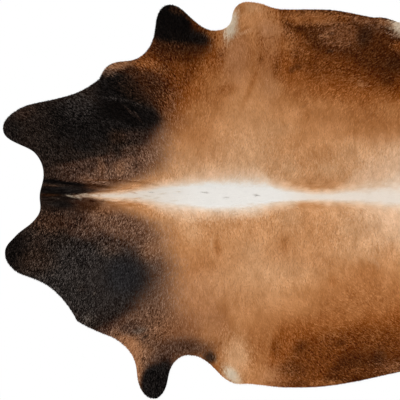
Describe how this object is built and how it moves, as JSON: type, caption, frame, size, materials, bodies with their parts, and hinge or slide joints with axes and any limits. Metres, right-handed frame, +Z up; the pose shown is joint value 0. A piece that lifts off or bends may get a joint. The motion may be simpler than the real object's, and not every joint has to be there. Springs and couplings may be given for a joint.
{
  "type": "cowhide area rug",
  "caption": "Whole hair-on cowhide laid flat as a floor rug, natural hide outline, black neck and legs, tan back with a cream stripe along the spine.",
  "frame": {"origin": "on the surface the rug lies on, at the centre of its bounding box", "axes": "+X along the spine from the neck to the tail, +Y towards the hide's right side, +Z up out of the hair side"},
  "size_m": [2.4, 1.88, 0.006],
  "materials": {
    "hide": "short natural cattle hair lying flat on tanned skin, tan with black and cream markings"
  },
  "bodies": {
    "root": {"cowhide": "hide"}
  },
  "joints": []
}
